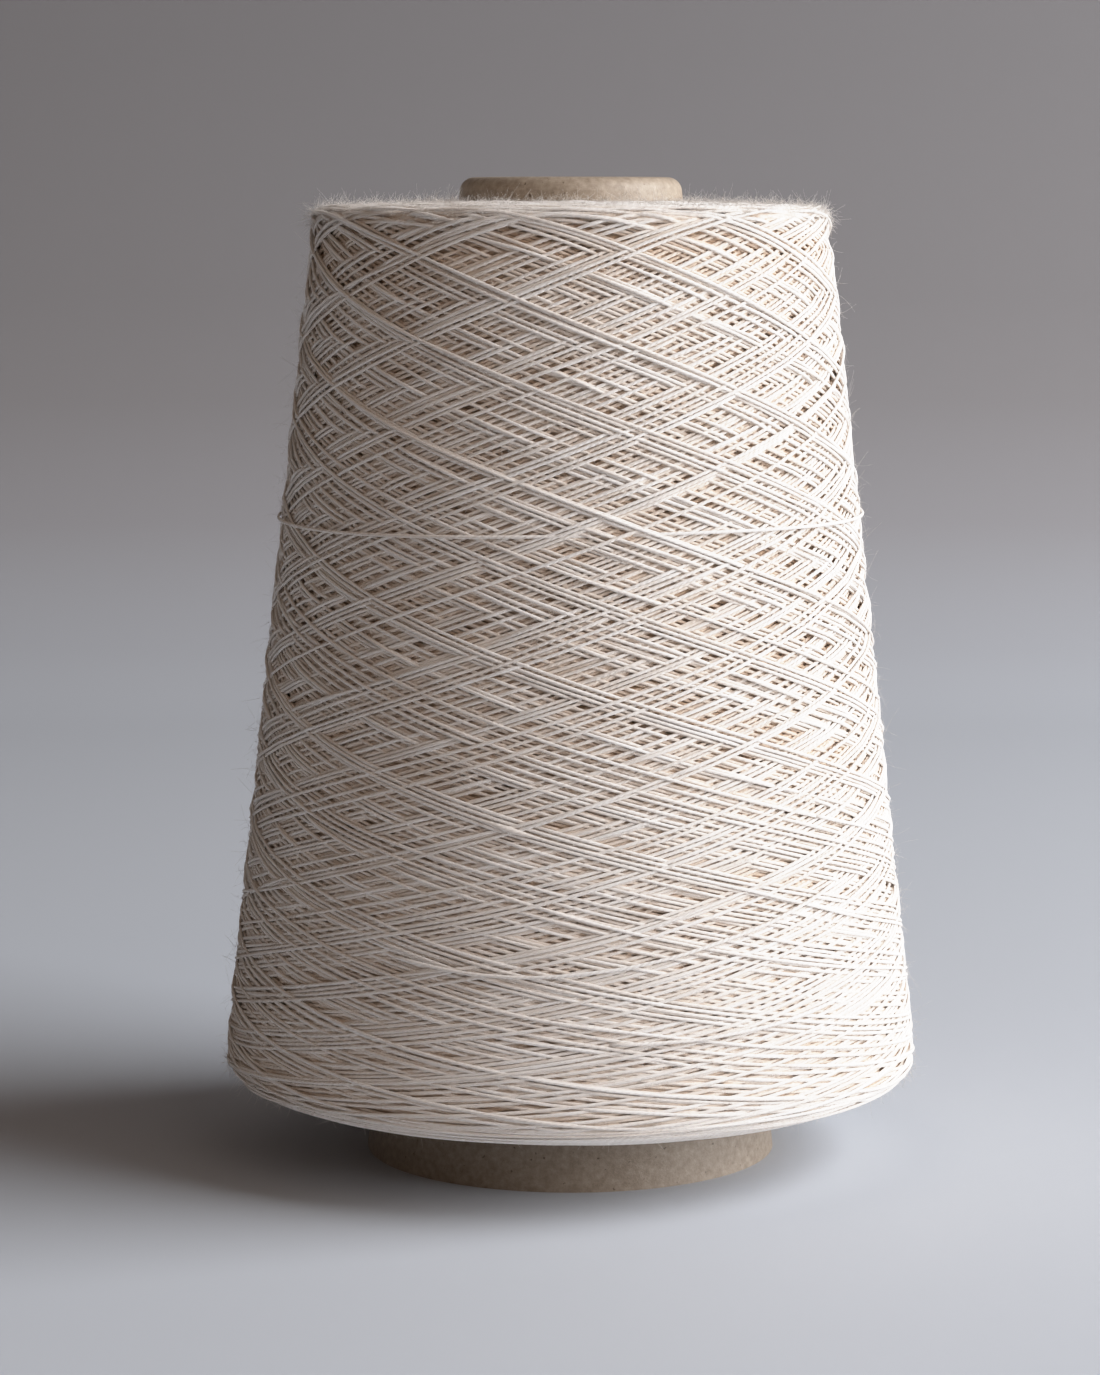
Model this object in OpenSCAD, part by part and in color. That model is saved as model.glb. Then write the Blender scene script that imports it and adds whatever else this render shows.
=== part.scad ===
// Cross-wound thread cone: a package of undyed sewing thread on a paperboard cone core.
// Millimetres. +Z runs up the cone's axis, and the origin is the centre of the base it stands on.
// The core is rolled from three papers, and its nose is turned inwards into a rounded, open rim.
// The thread is one continuous length, drawn here as three nested stages of winding and the
// last turn, which lies level round the outside.

/* [Core] */
// Length of the core along its axis
core_length = 170; // [120:1:230]
// Outside radius of the core at its cut base
core_base_r = 35.9; // [28:0.1:45]
// Half-angle of the core's taper, in degrees
core_half_angle = 5.7; // [3:0.05:7]
// Radius of the open hole through the rolled-in nose
nose_bore_r = 15; // [13:0.1:15]
// Outer rounding of the nose's rim
nose_round_r = 2.5; // [1.8:0.1:3]
// How far down inside the nose the rolled-in flap ends
flap_depth = 9; // [5:0.5:14]

/* [Core papers] */
// Thickness of the smooth outside paper
cover_paper_t = 0.4; // [0.2:0.05:0.6]
// Thickness of the board between the two papers
board_t = 0.8; // [0.4:0.05:0.9]
// Thickness of the inside paper
liner_paper_t = 0.4; // [0.2:0.05:0.4]

/* [Thread package] */
// Radius that the package's straight side would have at the base plane
package_base_r = 62.75; // [50:0.05:75]
// Half-angle of the package's straight side, in degrees
package_half_angle = 6.37; // [3:0.01:9]
// Height at which the package's underside meets the core
underside_z = 8.5; // [4:0.1:20]
// Rise of the underside from the core out to the shoulder, in degrees
underside_angle = 13; // [0:0.5:20]
// Height at which the package's top end meets the core
top_z = 165.8; // [110:0.1:225]
// Fall of the top end from the core out to the rim, in degrees
top_angle = 2; // [0:0.5:8]
// Rounding of the lower shoulder
lower_shoulder_r = 5; // [2:0.1:10]
// Rounding of the upper rim
upper_shoulder_r = 2.6; // [1:0.1:6]

/* [Winding] */
// Thickness of the thread
thread_d = 0.68; // [0.3:0.01:1.5]
// Share of the winding's depth that the first stage fills
inner_share = 0.35; // [0.1:0.01:0.45]
// Share of the winding's depth filled when the second stage ends
middle_share = 0.7; // [0.5:0.01:0.85]
// Height of the last turn of thread above the base
end_wrap_z = 112; // [40:1:150]
// How far round the cone the last turn goes, in degrees
end_wrap_angle = 352; // [90:1:358]

/* [Hidden] */
$fn = 180;
// Gap left between the last turn of thread and the winding under it
end_wrap_gap = 0.02;
core_wall_t = cover_paper_t + board_t + liner_paper_t;
// Centre of the nose's outer rounding, which the tapered side runs into without a corner
nose_centre_z = core_length - nose_round_r;
nose_centre_r = core_r(nose_centre_z) - nose_round_r / cos(core_half_angle);
// The inner rounding takes up what is left between that centre and the hole
nose_inner_round_r = nose_centre_r - nose_bore_r;
flap_end_z = core_length - flap_depth;
// The four corners of half the package's cross-section, before its shoulders are rounded
package_foot = [core_r(underside_z), underside_z];
package_lower_corner = end_corner(package_foot, underside_angle);
package_head = [core_r(top_z), top_z];
package_upper_corner = end_corner(package_head, -top_angle);

// Outside radius of the bare core at height z
function core_r(z) = core_base_r - z * tan(core_half_angle);
// Radius of the package's straight side at height z
function package_r(z) = package_base_r - z * tan(package_half_angle);
// Radius reached at height z when this share of the winding's depth is on the core
function stage_r(z, share) = core_r(z) + share * (package_r(z) - core_r(z));
// Where a line that leaves a point of the core at this slope meets the package's side
function end_corner(start, slope) =
    let (run = (package_r(start[1]) - start[0])
        / (1 + tan(slope) * tan(package_half_angle)))
    [start[0] + run, start[1] + run * tan(slope)];
function towards(from, to, distance) =
    from + distance * (to - from) / norm(to - from);
// Angle at corner b between its neighbours a and c
function corner_angle(a, b, c) =
    acos((a - b) * (c - b) / (norm(a - b) * norm(c - b)));
// How far from corner b a rounding of this radius starts
function tangent_length(a, b, c, radius) = radius / tan(corner_angle(a, b, c) / 2);
// Centre of the rounding of corner b
function rounding_centre(a, b, c, radius) =
    let (middle = (towards(b, a, 1) + towards(b, c, 1)) / 2)
    towards(b, middle, radius / sin(corner_angle(a, b, c) / 2));

// The outline left at this depth below the core's surface, from foot_z up and over the nose.
// It is filled in, and it comes down the inside as far as it does the outside.
module core_outline(depth, foot_z) {
    outer_r = nose_round_r - depth;
    inner_r = nose_inner_round_r - depth;
    polygon([
        [core_r(foot_z) - depth / cos(core_half_angle), foot_z],
        [
            nose_centre_r + outer_r * cos(core_half_angle),
            nose_centre_z + outer_r * sin(core_half_angle)
        ],
        [nose_centre_r, core_length - depth],
        [nose_bore_r + depth, core_length - nose_inner_round_r],
        [nose_bore_r + depth, foot_z]
    ]);
    intersection() {
        translate([nose_centre_r, nose_centre_z])
            circle(r = outer_r);
        translate([nose_centre_r, nose_centre_z - outer_r - 1])
            square([outer_r + 1, 2 * outer_r + 2]);
    }
    translate([nose_centre_r, core_length - nose_inner_round_r])
        circle(r = inner_r);
}

// One paper, between two depths below the core's surface, rolled over the nose as far as
// the flap's end
module core_ply(near, far) {
    rotate_extrude()
        difference() {
            core_outline(near, 0);
            core_outline(far, -1);
            translate([nose_bore_r - 1, -1])
                square([far + 1.1, flap_end_z + 1]);
        }
}

// Half of the package's cross-section, with both shoulders rounded
module package_profile() {
    foot = package_foot;
    low = package_lower_corner;
    high = package_upper_corner;
    head = package_head;
    low_run = tangent_length(foot, low, high, lower_shoulder_r);
    high_run = tangent_length(low, high, head, upper_shoulder_r);
    polygon([
        foot,
        towards(low, foot, low_run),
        towards(low, high, low_run),
        towards(high, low, high_run),
        towards(high, head, high_run),
        head
    ]);
    translate(rounding_centre(foot, low, high, lower_shoulder_r))
        circle(r = lower_shoulder_r);
    translate(rounding_centre(low, high, head, upper_shoulder_r))
        circle(r = upper_shoulder_r);
}

// One stage of the winding, from one share of its depth to another
module winding_stage(from_share, to_share) {
    below = -10;
    above = core_length + 10;
    rotate_extrude()
        intersection() {
            package_profile();
            polygon([
                [stage_r(below, from_share), below],
                [stage_r(below, to_share), below],
                [stage_r(above, to_share), above],
                [stage_r(above, from_share), above]
            ]);
        }
}

module core_cover_paper() {
    color([0.60, 0.48, 0.36])
        core_ply(0, cover_paper_t);
}

module core_board() {
    color([0.52, 0.41, 0.30])
        core_ply(cover_paper_t, cover_paper_t + board_t);
}

module core_liner_paper() {
    color([0.57, 0.47, 0.36])
        core_ply(cover_paper_t + board_t, core_wall_t);
}

module thread_inner_windings() {
    color([0.84, 0.77, 0.68])
        winding_stage(0, inner_share);
}

module thread_middle_windings() {
    color([0.87, 0.81, 0.72])
        winding_stage(inner_share, middle_share);
}

module thread_outer_windings() {
    color([0.91, 0.86, 0.79])
        winding_stage(middle_share, 1);
}

// The last turn rests on the package's side, a thread's half-thickness out from it
module thread_end_wrap() {
    lift = thread_d / 2 + end_wrap_gap;
    wrap_r = package_r(end_wrap_z) + lift / cos(package_half_angle);
    color([0.94, 0.90, 0.84])
        rotate_extrude(angle = end_wrap_angle)
            translate([wrap_r, end_wrap_z])
                circle(d = thread_d);
}

core_cover_paper();
core_board();
core_liner_paper();
thread_inner_windings();
thread_middle_windings();
thread_outer_windings();
thread_end_wrap();
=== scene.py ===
"""Thread cone: cross-wound undyed cotton thread on a rolled paperboard core."""
import math

import bpy
import numpy as np
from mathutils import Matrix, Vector


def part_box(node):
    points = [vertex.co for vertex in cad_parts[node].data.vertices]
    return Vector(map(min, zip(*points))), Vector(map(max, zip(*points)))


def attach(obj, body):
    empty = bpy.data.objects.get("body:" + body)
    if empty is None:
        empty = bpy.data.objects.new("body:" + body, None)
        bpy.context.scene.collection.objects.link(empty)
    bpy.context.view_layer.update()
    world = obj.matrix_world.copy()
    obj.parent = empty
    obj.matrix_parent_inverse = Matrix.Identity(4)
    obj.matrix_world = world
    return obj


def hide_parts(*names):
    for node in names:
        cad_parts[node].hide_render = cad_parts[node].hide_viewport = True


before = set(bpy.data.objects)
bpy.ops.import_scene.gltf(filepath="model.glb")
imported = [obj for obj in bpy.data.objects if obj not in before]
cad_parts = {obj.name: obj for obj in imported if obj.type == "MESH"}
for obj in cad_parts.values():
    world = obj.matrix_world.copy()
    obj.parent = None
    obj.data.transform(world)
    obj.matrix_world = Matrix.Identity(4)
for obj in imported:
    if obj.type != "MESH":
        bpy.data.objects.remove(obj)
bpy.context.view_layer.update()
MM = 0.001

# ---------------------------------------------------------------- the package's outline
# The CAD package's own driving sizes, in millimetres and degrees.
CORE_BASE_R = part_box("core_cover_paper")[1][0] / MM
CORE_SLOPE = math.tan(math.radians(5.7))
PACKAGE_BASE_R = 62.75
PACKAGE_SLOPE = math.tan(math.radians(6.37))
UNDERSIDE_Z = 8.5
UNDERSIDE_ANGLE = math.radians(13)
TOP_Z = 165.8
TOP_ANGLE = math.radians(2)
LOWER_SHOULDER_R = 5.0
UPPER_SHOULDER_R = 2.6

THREAD_W = 0.62          # a laid thread is a little flattened
THREAD_T = 0.46
FIBRE_W = 0.042          # a loose hair; both sizes are thin enough to show only at the edge
FIBRE_T = 0.036
CELL = 0.25              # spacing of the outline's points and of the thread's samples
LOWEST_TURN_Z = 14.0     # heights where the passes turn back
HIGHEST_TURN_Z = 164.6
LAST_TURN_Z = 112.0


def core_r(z):
    """Outside radius of the core."""
    return CORE_BASE_R - z * CORE_SLOPE


def package_r(z):
    """Radius of the package's side, without its shoulders."""
    return PACKAGE_BASE_R - z * PACKAGE_SLOPE


def end_corner(start, angle):
    """Where an end face that leaves the core at a slope meets the package's side."""
    run = (package_r(start[1]) - start[0]) / (1 + math.tan(angle) * PACKAGE_SLOPE)
    return np.array([start[0] + run, start[1] + run * math.tan(angle)])


def rounding(before, corner, after, radius, steps):
    """Points of the arc that rounds a corner of the outline."""
    u = (before - corner) / np.linalg.norm(before - corner)
    v = (after - corner) / np.linalg.norm(after - corner)
    half = math.acos(float(u @ v)) / 2
    middle = (u + v) / np.linalg.norm(u + v)
    centre = corner + middle * radius / math.sin(half)
    first, last = (corner + w * radius / math.tan(half) - centre for w in (u, v))
    start = math.atan2(first[1], first[0])
    turn = (math.atan2(last[1], last[0]) - start + math.pi) % (2 * math.pi) - math.pi
    angles = start + turn * np.linspace(0, 1, steps)
    return centre + radius * np.stack([np.cos(angles), np.sin(angles)], 1)


def smooth(values, width):
    """A running mean over an odd number of samples."""
    kernel = np.ones(width) / width
    padded = np.pad(values, (width // 2, width // 2), mode="edge")
    return np.convolve(padded, kernel, mode="valid")[: len(values)]


class Outline:
    """The package's outside, from the core under it, up the side, to the core above."""

    def __init__(self):
        foot = np.array([core_r(UNDERSIDE_Z), UNDERSIDE_Z])
        low = end_corner(foot, UNDERSIDE_ANGLE)
        head = np.array([core_r(TOP_Z), TOP_Z])
        high = end_corner(head, -TOP_ANGLE)
        points = np.vstack([
            foot[None],
            rounding(foot, low, high, LOWER_SHOULDER_R, 40),
            rounding(low, high, head, UPPER_SHOULDER_R, 30),
            head[None],
        ])
        steps = np.linalg.norm(np.diff(points, axis=0), axis=1)
        along = np.r_[0, np.cumsum(steps)]
        self.s = np.arange(0, along[-1], CELL)
        self.r = np.interp(self.s, along, points[:, 0])
        self.z = np.interp(self.s, along, points[:, 1])
        tr = smooth(np.gradient(self.r, self.s), 5)
        tz = smooth(np.gradient(self.z, self.s), 5)
        norm = np.hypot(tr, tz)
        self.nr, self.nz = tz / norm, -tr / norm
        self.length = self.s[-1]
        self.side = (self.z > 22) & (self.nr > 0.9)

    def s_at(self, z):
        """Distance along the outline where it first passes height z."""
        return float(self.s[np.argmax(self.z > z)])

    def at(self, s, name):
        """r, z or the outward normal's nr or nz, at distance s."""
        return np.interp(s, self.s, getattr(self, name))


outline = Outline()
FIRST_TURN_S = outline.s_at(LOWEST_TURN_Z)
LAST_TURN_S = outline.s_at(HIGHEST_TURN_Z)
AROUND = 1440            # columns of the height map, a quarter of a degree each


# ---------------------------------------------------------------- winding the thread
class Winding:
    """Lays one thread to and fro over the package and remembers how high it has piled."""

    SINK = 0.8               # part of a half thickness by which a pass stands on the last
    PULL_R = 57.0            # radius of the bend that tension works against
    STEEPEST_DIP = 0.35      # a pass never rests further than this under its mean support
    MARGIN = 3               # no sliding this near to a reversal

    def __init__(self, seed, samples):
        self.rng = np.random.default_rng(seed)
        rows = len(outline.s)
        self.height = np.zeros((rows, AROUND), np.float32)
        self.top_sample = -np.ones((rows, AROUND), np.int64)
        self.angle, self.s = [], []
        self.count = 0
        self.lift = np.zeros(samples)

    def slid(self, s, j):
        """Slides a stretch sideways off the ridges: far over the big end, little above."""
        reach = np.interp(outline.at(s, "z"), (30, 75), (0.8, 0.4))
        reach *= np.clip((s - s.min()) / self.MARGIN, 0, 1)
        reach *= np.clip((s.max() - s) / self.MARGIN, 0, 1)
        best = np.full(len(s), np.inf)
        shift = np.zeros(len(s))
        for part in (0, -0.34, 0.34, -0.67, 0.67, -1, 1):
            i = ((s + part * reach) / CELL).round().astype(int)
            i = np.clip(i, 1, len(outline.s) - 2)
            cost = smooth(self.height[i, j] + self.height[i - 1, j] + self.height[i + 1, j], 61)
            cost = cost + 0.12 * abs(part)
            better = cost < best
            best[better] = cost[better]
            shift[better] = part
        return s + reach * smooth(smooth(shift, 81), 61)

    def lay(self, angle, s):
        """Lays one stretch: it rests on what is there, bridges dips, and presses in."""
        half = THREAD_T / 2
        rows = len(outline.s)
        j = (angle / (2 * math.pi) * AROUND).astype(int) % AROUND
        s = self.slid(s, j)
        i = np.clip((s / CELL).round().astype(int), 1, rows - 2)
        under = (2 * self.height[i, j] + self.height[i - 1, j] + self.height[i + 1, j]) / 4
        under = np.maximum(smooth(smooth(under, 9), 9), under - self.STEEPEST_DIP)
        radius = outline.r[i]
        step = np.hypot(np.diff(angle) * 0.5 * (radius[1:] + radius[:-1]), np.diff(s))
        u = np.r_[0, np.cumsum(step)]
        bend = u * u / (2 * self.PULL_R)
        y = pulled_tight(u, under - bend) + bend + half * self.SINK
        first = self.count
        self.lift[first:first + len(y)] = y
        samples = np.arange(first, first + len(y))
        top = y + half
        for side in (0, -1, 1):
            ii = i + side
            there = self.top_sample[ii, j]
            was = self.height[ii, j]
            pressed = (was > y - half) & (there >= 0)
            np.minimum.at(self.lift, there[pressed], (y - 2 * half)[pressed] + 0.05)
            self.height[ii, j] = top - 0.12 * abs(side)
            self.top_sample[ii, j] = samples
        self.count += len(y)
        self.angle.append(angle)
        self.s.append(s)


def pulled_tight(u, g):
    """The lowest curve over g that is nowhere hollow: a taut thread over bumps."""
    hull = [0]
    gu, uu = g.tolist(), u.tolist()
    for q in range(1, len(uu)):
        while len(hull) >= 2:
            b, a = hull[-1], hull[-2]
            if (gu[b] - gu[a]) * (uu[q] - uu[b]) > (gu[q] - gu[b]) * (uu[b] - uu[a]):
                break
            hull.pop()
        hull.append(q)
    return np.interp(u, u[hull], g[hull])


# Traverse speed, in millimetres along the package per radian of turn, by height: the
# guide runs slower over the big end, so the thread lies flatter and closer there.
GUIDE_Z = (12, 16, 22, 30, 40, 50, 60, 76, 100, 150, 166)
GUIDE_SPEED = (5.0, 6.0, 8.6, 11.5, 13.4, 14.7, 16.0, 18.0, 19.2, 19.6, 18.0)
SLOW_LOW, SLOW_HIGH = 4.0, 6.5


def traverse(low, high):
    """The guide's run between two reversals: turn t against distance s along the outline."""
    s = low + (high - low) * (1 - np.cos(np.linspace(0, math.pi, 1500))) / 2
    middle = (s[1:] + s[:-1]) / 2
    speed = np.interp(outline.at(middle, "z"), GUIDE_Z, GUIDE_SPEED)
    speed *= np.sqrt(np.minimum(1, (middle - low) / SLOW_LOW))
    speed *= np.sqrt(np.minimum(1, (high - middle) / SLOW_HIGH))
    return np.r_[0, np.cumsum(np.diff(s) / speed)], s


def stroke(low, high, up, start, end, rng):
    """One pass from end to end, from one angle to another, with a little wander."""
    t, s = traverse(low, high)
    total = t[-1]
    even = np.linspace(0, total, int((end - start) * 55 / CELL))
    s = np.interp(even, t, s)
    if not up:
        s = s[::-1]
    part = even / total
    wander = sum(
        np.sin(rng.uniform(1, 5) * part * math.pi * 2 + rng.uniform(0, 2 * math.pi))
        for _ in range(3))
    s = s + 0.12 * wander * np.sin(math.pi * part)
    return start + (end - start) * part, np.clip(s, 0.3, outline.length - 0.3)


STROKES = 800
SAMPLES_PER_STROKE = 3400
FAMILIES = 8
PASSES_SPREAD = 0.0070   # radians gained per double stroke for 1 mm between neighbours
CLOSE_GAP = (0.52, 0.68)
OPEN_GAP = (1.25, 1.9)


def wind_package():
    """Winds the thread: eight families of coils that creep round, in bands and gaps."""
    w = Winding(11, STROKES * SAMPLES_PER_STROKE)
    rng = w.rng
    t, _ = traverse(FIRST_TURN_S, LAST_TURN_S)
    # an odd number of eighths of a turn, so that the passes fall into eight families
    turns = (2 * math.floor(t[-1] / math.pi * FAMILIES / 2) + 1) / FAMILIES
    angle, target = 0.0, 0.0
    low, high = FIRST_TURN_S, LAST_TURN_S
    gap = 0.65
    left = 4 * FAMILIES
    for k in range(STROKES):
        up = k % 2 == 0
        if up:
            high = LAST_TURN_S + 0.4 - 1.1 * abs(rng.normal())
            left -= 1
            if left <= 0:
                close = gap > 1.0
                gap = rng.uniform(*CLOSE_GAP) if close else rng.uniform(*OPEN_GAP)
                left = FAMILIES * (rng.integers(3, 7) if close else rng.integers(4, 7))
        else:
            low = FIRST_TURN_S - 0.5 + 1.3 * abs(rng.normal())
        target += (turns * 2 * math.pi + PASSES_SPREAD * gap) / 2
        stray = 0.05 if rng.uniform() < 0.16 else 0.008
        end = target + stray * rng.normal()
        angles, s = stroke(low, high, up, angle, end, rng)
        w.lay(angles, s)
        angle = end
    return w


def blurred(field, sigma_rows, sigma_cols):
    """A soft average of a map that closes on itself sideways, by Fourier transform."""
    pad = int(3 * sigma_rows)
    tall = np.pad(field, ((pad, pad), (0, 0)), mode="reflect")
    fr = np.fft.fftfreq(tall.shape[0])[:, None]
    fc = np.fft.rfftfreq(tall.shape[1])[None, :]
    gain = np.exp(-2 * math.pi ** 2 * ((fr * sigma_rows) ** 2 + (fc * sigma_cols) ** 2))
    return np.fft.irfft2(np.fft.rfft2(tall) * gain, s=tall.shape)[pad:-pad]


winding = wind_package()
angle_all = np.concatenate(winding.angle)
s_all = np.concatenate(winding.s)
lift_all = smooth(winding.lift[: winding.count], 5)

# Pressed even: the pile is levelled over a few millimetres, so its outside is the CAD's.
wound = (outline.s > FIRST_TURN_S - 0.5) & (outline.s < LAST_TURN_S + 0.5)
wound = np.repeat(wound[:, None].astype(float), AROUND, 1)


def levelled(rows_mm, columns):
    """The pile's own smoothed height, counting only where thread is wound."""
    weight = blurred(wound, rows_mm / CELL, columns)
    return blurred(winding.height * wound, rows_mm / CELL, columns) / np.maximum(weight, 0.05)


near_end = np.minimum(outline.s - FIRST_TURN_S, LAST_TURN_S - outline.s)
near_end = np.clip(1 - near_end / 5.0, 0, 1)[:, None]
low_part = np.clip((78 - outline.z) / 30, 0, 1)[:, None] * (1 - near_end)
broad = levelled(4.5, 22)
level = ((0.45 * levelled(2.2, 13) + 0.55 * broad) * (1 - low_part - near_end)
         + (0.65 * levelled(1.5, 13) + 0.35 * broad) * low_part + levelled(0.6, 10) * near_end)
over = winding.height - level
crest = np.percentile(over[outline.side], 80)
cell_i = np.clip((s_all / CELL).round().astype(int), 0, len(outline.s) - 1)
cell_j = (angle_all / (2 * math.pi) * AROUND).astype(int) % AROUND
PROUDEST = 0.22          # how far a thread's middle may lie outside the outline
DEEPEST = 1.9            # and how far under it a thread can still be seen
# the turns over the big end lie flat and close, so the relief is low there
relief = np.interp(outline.z, (14, 38, 80), (0.66, 0.78, 1.12))
out_all = relief[cell_i] * (lift_all - level[cell_i, cell_j] - crest)
out_all = np.where(out_all > 0, PROUDEST * np.tanh(out_all / PROUDEST), out_all)
# where the thread turns back only the newest loops lie outside, the rest under them
loop_rng = np.random.default_rng(3)
sunk = np.repeat(np.abs(loop_rng.normal(size=len(winding.s))), [len(a) for a in winding.s])
out_all -= 0.55 * sunk * near_end[cell_i, 0]
out_all = smooth(out_all, 9)


def place(angle, s, out):
    """Points and outward normals of samples that lie out mm outside the outline."""
    r, z = outline.at(s, "r"), outline.at(s, "z")
    nr, nz = outline.at(s, "nr"), outline.at(s, "nz")
    radius = r + nr * out
    points = np.stack(
        [radius * np.sin(angle), -radius * np.cos(angle), z + nz * out], 1)
    normals = np.stack([nr * np.sin(angle), -nr * np.cos(angle), nz], 1)
    return points, normals


# ---------------------------------------------------------------- strand meshes
SIDES = 6


def strand_mesh(name, runs, material, width=THREAD_W, thick=THREAD_T, sides=SIDES):
    """One closed tube for each run of (points, normals, start length, scale, out), in mm."""
    verts, quads, caps, twist, outs = [], [], [], [], []
    base = 0
    phase = (np.arange(sides) + 0.5) * 2 * math.pi / sides
    for points, normals, start, scale, out in runs:
        n = len(points)
        if n < 3:
            continue
        tangent = np.gradient(points, axis=0)
        tangent /= np.linalg.norm(tangent, axis=1)[:, None]
        across = np.cross(tangent, normals)
        across /= np.linalg.norm(across, axis=1)[:, None]
        up = np.cross(across, tangent)
        wide = np.cos(phase)[None, :, None] * (width / 2 * scale)[:, None, None]
        tall = np.sin(phase)[None, :, None] * (thick / 2 * scale)[:, None, None]
        ring = points[:, None, :] + across[:, None, :] * wide + up[:, None, :] * tall
        verts.append(ring.reshape(-1, 3))
        outs.append(np.repeat(np.broadcast_to(out, (n,)), sides))
        i = np.arange(n - 1)[:, None]
        j = np.arange(sides)[None, :]
        a = base + i * sides + j
        b = base + i * sides + (j + 1) % sides
        quads.append(np.stack([a, a + sides, b + sides, b], -1).reshape(-1, 4))
        caps.append(base + np.arange(sides))
        caps.append(base + (n - 1) * sides + np.arange(sides)[::-1])
        along = start + np.r_[0, np.cumsum(np.linalg.norm(np.diff(points, axis=0), axis=1))]
        u0 = np.repeat(along[:-1], sides)
        u1 = np.repeat(along[1:], sides)
        v0 = np.tile(np.arange(sides) / sides, n - 1)
        v1 = v0 + 1 / sides
        twist.append(np.stack([
            np.stack([u0, v0], 1), np.stack([u1, v0], 1),
            np.stack([u1, v1], 1), np.stack([u0, v1], 1)], 1))
        base += n * sides
    verts = np.concatenate(verts) * MM
    quads = np.concatenate(quads)
    twist = np.concatenate(twist)
    caps = np.array(caps)
    mesh = bpy.data.meshes.new(name)
    mesh.vertices.add(len(verts))
    mesh.vertices.foreach_set("co", verts.astype(np.float32).ravel())
    nq, nc = len(quads), len(caps)     # four corners to a quad, one for each side to a cap
    mesh.loops.add(nq * 4 + nc * sides)
    mesh.loops.foreach_set(
        "vertex_index", np.r_[quads.ravel(), caps.ravel()].astype(np.int32))
    mesh.polygons.add(nq + nc)
    starts = np.r_[np.arange(nq) * 4, nq * 4 + np.arange(nc) * sides]
    mesh.polygons.foreach_set("loop_start", starts.astype(np.int32))
    mesh.update(calc_edges=True)
    mesh.polygons.foreach_set("use_smooth", np.r_[np.ones(nq, bool), np.zeros(nc, bool)])
    deep = mesh.attributes.new("deep", "FLOAT", "POINT")
    deep.data.foreach_set("value", (-np.concatenate(outs)).astype(np.float32))
    # "along" runs in millimetres of thread one way and once round it the other
    layer = mesh.uv_layers.new(name="along")
    uv = np.zeros((nq * 4 + nc * sides, 2), np.float32)
    uv[: nq * 4] = twist.reshape(-1, 2)
    uv[nq * 4:] = 0.5
    layer.data.foreach_set("uv", uv.ravel())
    # "OFBake" gives every stretch between two samples its own cell of a square sheet
    bake = mesh.uv_layers.new(name="OFBake")
    cells = nq // sides
    wide = max(1, math.ceil(math.sqrt(cells)))
    tall = math.ceil(cells / wide) + 1
    cell = np.repeat(np.arange(cells), sides)
    side = np.tile(np.arange(sides), cells)
    left, low = cell % wide / wide, (cell // wide + side / sides) / tall
    right, high = left + 1 / wide, low + 1 / sides / tall
    corners = np.stack([
        np.stack([left, low], 1), np.stack([right, low], 1),
        np.stack([right, high], 1), np.stack([left, high], 1)], 1)
    around = np.stack(
        [0.5 + np.cos(phase) * 0.4 / wide, 1 + (np.sin(phase) * 0.4 - 0.5) / tall], 1)
    uv[: nq * 4] = corners.reshape(-1, 2)
    uv[nq * 4:] = np.tile(around, (nc, 1))
    bake.data.foreach_set("uv", uv.ravel())
    mesh.materials.append(material)
    obj = bpy.data.objects.new(name, mesh)
    bpy.context.scene.collection.objects.link(obj)
    return obj


def ride_as_thread(piece, *nodes):
    """The piece moves with the root and stands for the nodes, which it hides."""
    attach(piece, "root")
    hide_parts(*nodes)


# ---------------------------------------------------------------- materials
def new_material(name):
    m = bpy.data.materials.new(name)
    m.use_nodes = True
    nt = m.node_tree
    return m, nt, nt.nodes["Principled BSDF"]


def node(nt, kind, **inputs):
    """A new node with constants on the inputs named, an underscore for each space."""
    n = nt.nodes.new(kind)
    for key, value in inputs.items():
        n.inputs[key.replace("_", " ")].default_value = value
    return n


def ramp(nt, stops):
    """A colour ramp through (position, colour) stops."""
    n = nt.nodes.new("ShaderNodeValToRGB")
    while len(n.color_ramp.elements) < len(stops):
        n.color_ramp.elements.new(0.5)
    for element, (position, colour) in zip(n.color_ramp.elements, stops):
        element.position = position
        element.color = (*colour, 1)
    return n


def multiplied(nt, a, b):
    """The product of two colours."""
    n = nt.nodes.new("ShaderNodeMix")
    n.data_type = "RGBA"
    n.blend_type = "MULTIPLY"
    n.inputs["Factor"].default_value = 1.0
    nt.links.new(a, n.inputs["A"])
    nt.links.new(b, n.inputs["B"])
    return n.outputs["Result"]


def maths(nt, operation, *values):
    """The result of a Math node; each value is another node's output or a number."""
    n = nt.nodes.new("ShaderNodeMath")
    n.operation = operation
    for socket, value in zip(n.inputs, values):
        if isinstance(value, float):
            socket.default_value = value
        else:
            nt.links.new(value, socket)
    return n.outputs[0]


PLY_LENGTH = 2.4         # millimetres of thread for one turn of its two plies


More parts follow.
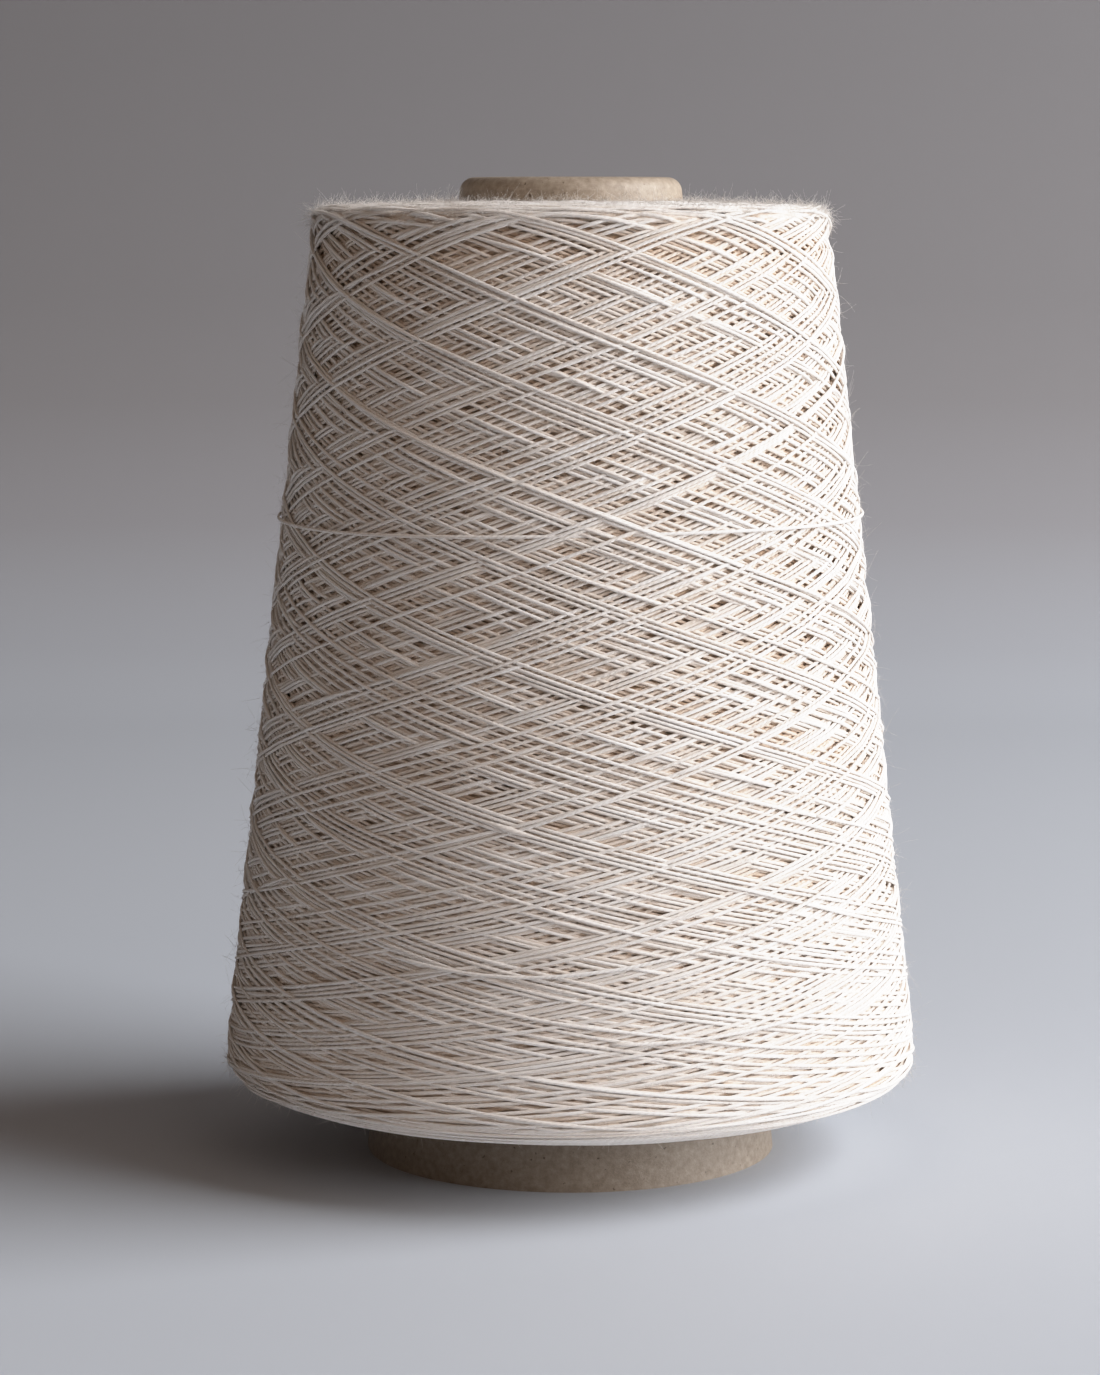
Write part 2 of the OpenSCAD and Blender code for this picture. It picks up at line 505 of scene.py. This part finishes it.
def thread_material():
    """Soft undyed two-ply cotton that varies slowly along its length; its colour browns and
    darkens with depth as painted shade.
    """
    m, nt, shader = new_material("undyed_cotton_thread")
    link = nt.links.new
    uv = nt.nodes.new("ShaderNodeUVMap")
    uv.uv_map = "along"
    parts = nt.nodes.new("ShaderNodeSeparateXYZ")
    link(uv.outputs["UV"], parts.inputs[0])
    slow = node(nt, "ShaderNodeTexNoise", Scale=0.02, Detail=3.0)
    slow.noise_dimensions = "1D"
    link(parts.outputs["X"], slow.inputs["W"])
    tone = ramp(nt, [(0.3, (0.905, 0.84, 0.775)), (0.7, (0.97, 0.938, 0.905))])
    link(slow.outputs["Fac"], tone.inputs["Fac"])
    # painted shade: deeper turns are coloured browner and darker, for the shade in the gaps and
    # the light that passes from thread to thread
    deep = nt.nodes.new("ShaderNodeAttribute")
    deep.attribute_name = "deep"
    shade = node(nt, "ShaderNodeMapRange", From_Min=0.35, From_Max=1.7)
    link(deep.outputs["Fac"], shade.inputs["Value"])
    brown = ramp(nt, [(0.0, (1, 1, 1)), (0.4, (0.95, 0.895, 0.84)), (1.0, (0.79, 0.64, 0.50))])
    link(shade.outputs["Result"], brown.inputs["Fac"])
    colour = multiplied(nt, tone.outputs["Color"], brown.outputs["Color"])
    link(colour, shader.inputs["Base Color"])
    # two plies twisted together: a slanting groove every half turn, and fine fibres
    turns = maths(nt, "MULTIPLY", parts.outputs["X"], 1 / PLY_LENGTH)
    lead = maths(nt, "SUBTRACT", parts.outputs["Y"], turns)
    groove = maths(nt, "SINE", maths(nt, "MULTIPLY", lead, 4 * math.pi))
    coords = nt.nodes.new("ShaderNodeTexCoord")
    fine = node(nt, "ShaderNodeTexNoise", Scale=4000.0, Detail=2.0)
    link(coords.outputs["Object"], fine.inputs["Vector"])
    bump = node(nt, "ShaderNodeBump", Strength=0.55, Distance=0.00006)
    link(maths(nt, "MULTIPLY_ADD", fine.outputs["Fac"], 1.2, groove), bump.inputs["Height"])
    link(bump.outputs["Normal"], shader.inputs["Normal"])
    shader.inputs["Roughness"].default_value = 0.85
    shader.inputs["Diffuse Roughness"].default_value = 0.6
    shader.inputs["Specular IOR Level"].default_value = 0.15
    shader.inputs["Sheen Weight"].default_value = 0.15
    shader.inputs["Sheen Roughness"].default_value = 0.6
    return m


def shaded_thread_material():
    """The thread deep in the winding, seen only through gaps: close ridges, coloured dark brown as
    painted shade.
    """
    m, nt, shader = new_material("cotton_thread_in_painted_shade")
    link = nt.links.new
    coords = nt.nodes.new("ShaderNodeTexCoord")
    mottle = node(nt, "ShaderNodeTexNoise", Scale=900.0, Detail=3.0)
    link(coords.outputs["Object"], mottle.inputs["Vector"])
    # painted shade: the deep thread is coloured far darker than the thread outside
    tone = ramp(nt, [(0.3, (0.50, 0.37, 0.265)), (0.7, (0.64, 0.49, 0.37))])
    link(mottle.outputs["Fac"], tone.inputs["Fac"])
    link(tone.outputs["Color"], shader.inputs["Base Color"])
    ridges = node(nt, "ShaderNodeTexWave", Scale=500.0, Distortion=3.0)
    ridges.bands_direction = "Z"
    link(coords.outputs["Object"], ridges.inputs["Vector"])
    bump = node(nt, "ShaderNodeBump", Strength=0.8, Distance=0.0003)
    link(ridges.outputs["Fac"], bump.inputs["Height"])
    link(bump.outputs["Normal"], shader.inputs["Normal"])
    shader.inputs["Roughness"].default_value = 0.9
    return m


thread = thread_material()

# ---------------------------------------------------------------- the wound thread
# The thread where it can be seen, with every seventh sample kept, in pieces.
MESH_STEP = 7
PER_PIECE = 15500        # samples, so that no piece is too large to export whole
SLUB_AT = np.array([-12.6, -54.2, 63.0])     # a thick place in the thread, at the front


def visible_runs():
    """Stretches of the continuous thread that are near enough to the outside to show."""
    picked = np.arange(0, len(angle_all), MESH_STEP)
    shown = out_all[picked] > -DEEPEST
    shown = np.convolve(shown, np.ones(5), mode="same") > 0
    edges = np.flatnonzero(np.diff(np.r_[0, shown.astype(int), 0]))
    return picked, list(zip(edges[::2], edges[1::2]))


def make_strands():
    """Cuts the visible stretches into pieces; neighbours share the sample at the cut."""
    rng = np.random.default_rng(5)
    picked, spans = visible_runs()
    points, normals = place(angle_all[picked], s_all[picked], out_all[picked])
    thickness = 1 + 0.05 * smooth(rng.normal(size=len(picked)), 3) \
        + 0.12 * smooth(rng.normal(size=len(picked)), 9)
    slub = np.linalg.norm(points - SLUB_AT, axis=1)
    slub[out_all[picked] < -0.05] = np.inf
    thickness = thickness + 0.9 * np.exp(-((np.arange(len(picked)) - slub.argmin()) / 1.6) ** 2)
    pieces, runs, held = [], [], 0
    for first, last in spans:
        while last - first > 2:
            end = min(last, first + PER_PIECE - held)
            if end - first > 2:
                cut = slice(first, end)
                runs.append((points[cut], normals[cut], first * MESH_STEP * CELL,
                             thickness[cut], out_all[picked[cut]]))
                held += end - first
            if end == last and held < PER_PIECE - 3:
                break
            pieces.append(runs)
            runs, held = [], 0
            first = end - 1
            if end == last:
                break
    if runs:
        pieces.append(runs)
    for number, runs in enumerate(pieces, 1):
        piece = strand_mesh(f"wound_thread_{number:02d}", runs, thread)
        ride_as_thread(piece, "thread_outer_windings")


make_strands()


def tucked(n, deep):
    """How far a laid strand lies out: along the surface, with both ends pushed under."""
    proud = 0.5
    part = np.linspace(0, 1, n)
    ends = np.minimum(1, np.minimum(part, 1 - part) * 12)
    return proud - deep * (1 - ends) ** 2


def stray_strand(name, angles, heights):
    """A strand that left its place and lies across the others."""
    n = 70
    part = np.linspace(0, 1, n)
    knots = np.linspace(0, 1, len(angles))
    angle = np.interp(part, knots, angles)
    z = smooth(np.interp(part, knots, heights), 9)
    s = np.interp(z, outline.z[outline.side], outline.s[outline.side])
    points, normals = place(angle, s, tucked(n, 1.2))
    piece = strand_mesh(name, [(points, normals, 40.0, np.ones(n), 0.0)], thread)
    ride_as_thread(piece, "thread_outer_windings")


stray_strand("stray_strand_low",
             (-0.55, -0.3, -0.1, 0.2, 0.6, 0.9), (43.5, 41.5, 41.2, 43.0, 48.5, 53.5))
stray_strand("stray_strand_lower", (0.1, 0.35, 0.6, 0.9), (30.4, 30.6, 31.8, 34.5))


# ---------------------------------------------------------------- the two end faces
def end_face_arcs(name, inner_s, outer_s, spread, dip, seed):
    """Old reversals: arcs that rise to the end face, turn and sink back into the package."""
    rng = np.random.default_rng(seed)
    runs = []
    rings = int(abs(outer_s - inner_s) / 0.5)
    for ring in range(rings):
        s0 = inner_s + (outer_s - inner_s) * (ring + 0.5) / rings
        radius = float(outline.at(s0, "r"))
        count = int(round(2 * math.pi / spread * 1.25))
        first = rng.uniform(0, 2 * math.pi)
        for q in range(count):
            half = spread * rng.uniform(0.75, 1.15)
            n = max(8, int(2 * half * radius / 1.9))
            u = np.linspace(-half, half, n)
            angle = first + 2 * math.pi * q / count + rng.normal() * 0.1 + u
            s = s0 + 0.3 * rng.normal() + 0.22 * np.sin(u * rng.uniform(2, 6) + rng.uniform(0, 6))
            s = np.clip(s, 0.3, outline.length - 0.3)
            out = 0.1 - abs(rng.normal()) * 0.4 - dip * u * u
            points, normals = place(angle, s, out)
            scale = 1 + 0.06 * rng.normal() + 0.05 * np.sin(u * 9 + rng.uniform(0, 6))
            runs.append((points, normals, rng.uniform(0, 5000), scale, out))
    piece = strand_mesh(name, runs, thread)
    ride_as_thread(piece, "thread_outer_windings")


end_face_arcs("top_face_reversals", outline.length - 0.4, LAST_TURN_S - 0.3, 0.42, 10.0, 21)
end_face_arcs("underside_reversals_inner", 0.4, 12.5, 0.8, 1.8, 22)
end_face_arcs("underside_reversals_outer", 12.5, FIRST_TURN_S + 3.2, 0.8, 1.8, 23)


# ---------------------------------------------------------------- bed of the winding
def revolved(name, loop, segments, material):
    """A closed ring swept from a closed loop of (r, z) points in mm."""
    loop = np.asarray(loop)
    n = len(loop)
    angles = np.arange(segments) * 2 * math.pi / segments
    r = np.repeat(loop[None, :, 0], segments, 0)
    z = np.repeat(loop[None, :, 1], segments, 0)
    verts = np.stack([r * np.sin(angles)[:, None], -r * np.cos(angles)[:, None], z], -1)
    i = np.arange(segments)[:, None]
    j = np.arange(n)[None, :]
    a = i * n + j
    b = i * n + (j + 1) % n
    c = ((i + 1) % segments) * n + (j + 1) % n
    d = ((i + 1) % segments) * n + j
    faces = np.stack([a, d, c, b], -1).reshape(-1, 4)
    mesh = bpy.data.meshes.new(name)
    mesh.vertices.add(segments * n)
    mesh.vertices.foreach_set("co", (verts.reshape(-1, 3) * MM).astype(np.float32).ravel())
    mesh.loops.add(len(faces) * 4)
    mesh.loops.foreach_set("vertex_index", faces.astype(np.int32).ravel())
    mesh.polygons.add(len(faces))
    mesh.polygons.foreach_set("loop_start", (np.arange(len(faces)) * 4).astype(np.int32))
    mesh.update(calc_edges=True)
    mesh.polygons.foreach_set("use_smooth", np.ones(len(faces), bool))
    mesh.materials.append(material)
    u0, v0 = np.broadcast_to(i / segments, (segments, n)), np.broadcast_to(j / n, (segments, n))
    u1, v1 = u0 + 1 / segments, v0 + 1 / n
    grid = np.stack([
        np.stack([u0, v0], -1), np.stack([u1, v0], -1),
        np.stack([u1, v1], -1), np.stack([u0, v1], -1)], 2)
    bake = mesh.uv_layers.new(name="OFBake")
    bake.data.foreach_set("uv", grid.astype(np.float32).ravel())
    obj = bpy.data.objects.new(name, mesh)
    bpy.context.scene.collection.objects.link(obj)
    return obj


def winding_bed():
    """The winding in depth, just under the deepest strands, hollow for the core."""
    s = outline.s[::4]
    depth = np.interp(
        s, [0, 2, outline.s_at(13.0), outline.s_at(22.0), outline.s_at(155.0),
            LAST_TURN_S, outline.length - 2, outline.length],
        [0.5, 1.5, 1.5, DEEPEST, DEEPEST, 1.5, 1.5, 0.5])
    r = outline.at(s, "r") - outline.at(s, "nr") * depth
    z = outline.at(s, "z") - outline.at(s, "nz") * depth
    inner_z = np.linspace(z[-1], z[0], 40)[1:-1]
    loop = np.r_[np.c_[r, z], np.c_[core_r(inner_z) + 0.02, inner_z]]
    piece = revolved("winding_bed", loop, 360, shaded_thread_material())
    ride_as_thread(piece, "thread_inner_windings", "thread_middle_windings")


winding_bed()


# ---------------------------------------------------------------- the free end
def last_turn():
    """The last turn, nearly level round the package, its two ends tucked under."""
    n = 420
    angle = np.linspace(0.2, 0.2 + math.radians(352), n)
    z = LAST_TURN_Z + 0.5 * np.sin(angle) + 0.25 * np.sin(3 * angle + 1)
    s = np.interp(z, outline.z[outline.side], outline.s[outline.side])
    points, normals = place(angle, s, tucked(n, 1.4))
    run = (points, normals, 0.0, np.ones(n), 0.0)
    ride_as_thread(strand_mesh("last_turn_of_thread", [run], thread), "thread_end_wrap")


last_turn()


# ---------------------------------------------------------------- core materials
def paper_material(name, light, dark, nose_painted_light=1.0):
    """Kraft paper: soft clouds, fine fibres and small dark specks; nose_painted_light lightens the
    nose towards its top as painted light.
    """
    m, nt, shader = new_material(name)
    link = nt.links.new
    coords = nt.nodes.new("ShaderNodeTexCoord")
    clouds = node(nt, "ShaderNodeTexNoise", Scale=800.0, Detail=7.0, Roughness=0.72)
    link(coords.outputs["Object"], clouds.inputs["Vector"])
    tone = ramp(nt, [(0.32, dark), (0.68, light)])
    link(clouds.outputs["Fac"], tone.inputs["Fac"])
    specks = node(nt, "ShaderNodeTexNoise", Scale=1100.0, Detail=2.0)
    link(coords.outputs["Object"], specks.inputs["Vector"])
    spots = ramp(nt, [(0.69, (1, 1, 1)), (0.73, (0.40, 0.35, 0.30))])
    link(specks.outputs["Fac"], spots.inputs["Fac"])
    colour = multiplied(nt, tone.outputs["Color"], spots.outputs["Color"])
    parts = nt.nodes.new("ShaderNodeSeparateXYZ")
    link(coords.outputs["Object"], parts.inputs[0])
    # painted light: the colour is scaled up from 150 mm to 166 mm high, towards the nose's top
    top_painted_light = node(nt, "ShaderNodeMapRange",
                 From_Min=0.150, From_Max=0.166, To_Min=1.0, To_Max=nose_painted_light)
    link(parts.outputs["Z"], top_painted_light.inputs["Value"])
    painted_light_colour = nt.nodes.new("ShaderNodeVectorMath")
    painted_light_colour.operation = "SCALE"
    link(colour, painted_light_colour.inputs[0])
    link(top_painted_light.outputs["Result"], painted_light_colour.inputs["Scale"])
    link(painted_light_colour.outputs[0], shader.inputs["Base Color"])
    grain = node(nt, "ShaderNodeTexNoise", Scale=2200.0, Detail=5.0, Roughness=0.7)
    link(coords.outputs["Object"], grain.inputs["Vector"])
    bump = node(nt, "ShaderNodeBump", Strength=0.5, Distance=0.00022)
    link(grain.outputs["Fac"], bump.inputs["Height"])
    link(bump.outputs["Normal"], shader.inputs["Normal"])
    shader.inputs["Roughness"].default_value = 0.5
    shader.inputs["Specular IOR Level"].default_value = 0.55
    return m


# the cover's nose is lightened 1.15 times at its top as painted light
cover = paper_material("kraft_cover_paper", (0.40, 0.325, 0.25), (0.23, 0.175, 0.124), 1.15)
board = paper_material("grey_brown_board", (0.42, 0.34, 0.25), (0.28, 0.22, 0.155))
liner = paper_material("kraft_liner_paper", (0.48, 0.40, 0.29), (0.35, 0.28, 0.20))
for name, material in (
        ("core_cover_paper", cover), ("core_board", board), ("core_liner_paper", liner)):
    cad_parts[name].material_slots[0].material = material


# ---------------------------------------------------------------- loose fibres
def fibres(name, seed, roots, normals, long):
    """Hairs that stand off the thread: fine closed tubes that rise and bend back."""
    rng = np.random.default_rng(seed)
    runs = []
    steps = 7
    part = np.linspace(0, 1, steps)[:, None]
    taper = np.linspace(1.0, 0.5, steps)
    for root, normal in zip(roots, normals):
        loose = rng.normal(size=3)
        loose -= normal * (loose @ normal)
        loose /= np.linalg.norm(loose)
        length = long * rng.uniform(0.35, 1.0)
        rise = rng.uniform(0.1, 0.9) ** 1.5
        heading = loose * math.sqrt(1 - rise * rise) + normal * rise
        bend = rng.normal(size=3) * 0.45 - normal * rise * rng.uniform(0.1, 0.7)
        curl = rng.normal(size=3) * 0.25
        path = root + length * (part * heading + part ** 2 * bend + part ** 3 * curl)
        side = np.cross(heading, rng.normal(size=3))
        side /= np.linalg.norm(side)
        runs.append((path, np.tile(side, (steps, 1)), rng.uniform(0, 900), taper, 0.0))
    piece = strand_mesh(name, runs, thread, width=FIBRE_W, thick=FIBRE_T, sides=3)
    ride_as_thread(piece, "thread_outer_windings")


def fibres_on_thread(name, count, seed, pick, long):
    """Hairs rooted on the wound thread, among the samples that pick marks."""
    chosen = np.random.default_rng(seed + 50).choice(np.flatnonzero(pick), count)
    fibres(name, seed, *place(angle_all[chosen], s_all[chosen], out_all[chosen]), long)


def fuzz_on_face(name, count, seed, long):
    """Short fuzz of the turned-back loops, on the top face and round its edge."""
    rng = np.random.default_rng(seed + 50)
    edge = outline.s_at(163.8)
    s = edge + (outline.length - edge) * rng.uniform(size=count) ** 1.6
    fibres(name, seed, *place(rng.uniform(0, 2 * math.pi, count), s, 0.1), long)


outside = out_all > -0.35
top_edge = outside & (outline.at(s_all, "z") > 161.5)
lower_edge = outside & (outline.at(s_all, "z") < 18.0)
fewer = 1
fibres_on_thread("loose_fibres_side_1", 4500 // fewer, 31, outside, 2.6)
fibres_on_thread("loose_fibres_side_2", 4500 // fewer, 32, outside, 3.4)
fibres_on_thread("loose_fibres_top_edge", 3000 // fewer, 33, top_edge, 2.2)
fibres_on_thread("loose_fibres_lower_edge", 1500 // fewer, 34, lower_edge, 2.4)
fuzz_on_face("fuzz_on_top_face_1", 4800 // fewer, 35, 1.5)
fuzz_on_face("fuzz_on_top_face_2", 4800 // fewer, 36, 2.1)


# ---------------------------------------------------------------- table and backdrop
def backdrop():
    """A table that curves up into a wall; its tone falls with height as painted shade, for light
    that falls off up the wall.
    """
    m, nt, shader = new_material("grey_paper_sweep_painted_falloff")
    link = nt.links.new
    coords = nt.nodes.new("ShaderNodeTexCoord")
    parts = nt.nodes.new("ShaderNodeSeparateXYZ")
    link(coords.outputs["Object"], parts.inputs[0])
    # painted shade: the ramp darkens the sweep as it rises from the table
    tone = ramp(nt, [
        (0.0, (0.515, 0.538, 0.575)), (0.03, (0.444, 0.457, 0.487)), (0.11, (0.334, 0.326, 0.339)),
        (0.204, (0.263, 0.251, 0.255)), (0.29, (0.233, 0.222, 0.225)),
        (0.5, (0.203, 0.193, 0.195)), (1.0, (0.153, 0.143, 0.145))])
    span = node(nt, "ShaderNodeMapRange", From_Min=0.0, From_Max=0.45)
    link(parts.outputs["Z"], span.inputs["Value"])
    link(span.outputs["Result"], tone.inputs["Fac"])
    link(tone.outputs["Color"], shader.inputs["Base Color"])
    shader.inputs["Roughness"].default_value = 0.7
    bend_at, bend_r = 0.55, 0.4
    rows = [(-7.0, 0.0), (bend_at, 0.0)]
    for a in np.linspace(0, math.pi / 2, 24)[1:]:
        rows.append((bend_at + bend_r * math.sin(a), bend_r * (1 - math.cos(a))))
    rows.append((bend_at + bend_r, 3.0))
    verts = [(x, y, z) for y, z in rows for x in (-4.0, 4.0)]
    faces = [(2 * i, 2 * i + 1, 2 * i + 3, 2 * i + 2) for i in range(len(rows) - 1)]
    mesh = bpy.data.meshes.new("sweep")
    mesh.from_pydata(verts, [], faces)
    mesh.polygons.foreach_set("use_smooth", [True] * len(faces))
    mesh.materials.append(m)
    obj = bpy.data.objects.new("sweep", mesh)
    bpy.context.scene.collection.objects.link(obj)


backdrop()


# ---------------------------------------------------------------- light and camera
def area_light(name, azimuth, elevation, distance, size, power, colour):
    """A square light that faces the package's middle. Azimuth 0 is the camera's side."""
    a, e = math.radians(azimuth), math.radians(elevation)
    target = np.array([0, 0, 0.08])
    away = np.array([math.cos(e) * math.sin(a), -math.cos(e) * math.cos(a), math.sin(e)])
    data = bpy.data.lights.new(name, "AREA")
    data.energy = power
    data.size = size
    data.color = colour
    light = bpy.data.objects.new(name, data)
    light.location = target + distance * away
    light.rotation_euler = Vector(away).to_track_quat("Z", "Y").to_euler()
    bpy.context.scene.collection.objects.link(light)


area_light("window", 81, 26, 1.3, 1.25, 37.5, (1.0, 1.02, 1.06))
area_light("window_beyond", 30, 28, 1.5, 1.0, 2.3, (1.0, 0.77, 0.64))


def room_light():
    """Weak warm light from all round; past the sweep the camera sees a plain grey wall."""
    world = bpy.data.worlds.new("room")
    world.use_nodes = True
    nt = world.node_tree
    room = nt.nodes["Background"]
    room.inputs["Color"].default_value = (1.0, 0.75, 0.57, 1)
    room.inputs["Strength"].default_value = 0.11
    wall = nt.nodes.new("ShaderNodeBackground")
    wall.inputs["Color"].default_value = (0.14, 0.135, 0.137, 1)
    rays = nt.nodes.new("ShaderNodeLightPath")
    either = nt.nodes.new("ShaderNodeMixShader")
    nt.links.new(rays.outputs["Is Camera Ray"], either.inputs["Fac"])
    nt.links.new(room.outputs[0], either.inputs[1])
    nt.links.new(wall.outputs[0], either.inputs[2])
    nt.links.new(either.outputs[0], nt.nodes["World Output"].inputs["Surface"])
    bpy.context.scene.world = world


def soft_highlights():
    """Keeps the relief of the brightest thread: tones over 0.55 ease in up to 1.8."""
    settings = bpy.context.scene.view_settings
    settings.view_transform = "Standard"
    settings.use_curve_mapping = True
    brightest = 1.8
    settings.curve_mapping.white_level = (brightest, brightest, brightest)
    shoulder = settings.curve_mapping.curves[3]
    for light, shown in (
            (0.2, 0.2), (0.4, 0.4), (0.55, 0.55), (0.75, 0.735), (1.0, 0.90), (1.4, 0.98)):
        shoulder.points.new(light / brightest, shown)
    settings.curve_mapping.update()


room_light()
soft_highlights()

camera = bpy.data.cameras.new("camera")
camera.sensor_width = 36.0
camera.lens = 101.35
camera.clip_end = 20
view = bpy.data.objects.new("camera", camera)
view.location = (-0.0036, -0.673, 0.1652)
view.rotation_euler = (math.radians(90 - 7.10), 0, 0)
bpy.context.scene.collection.objects.link(view)
bpy.context.scene.camera = view
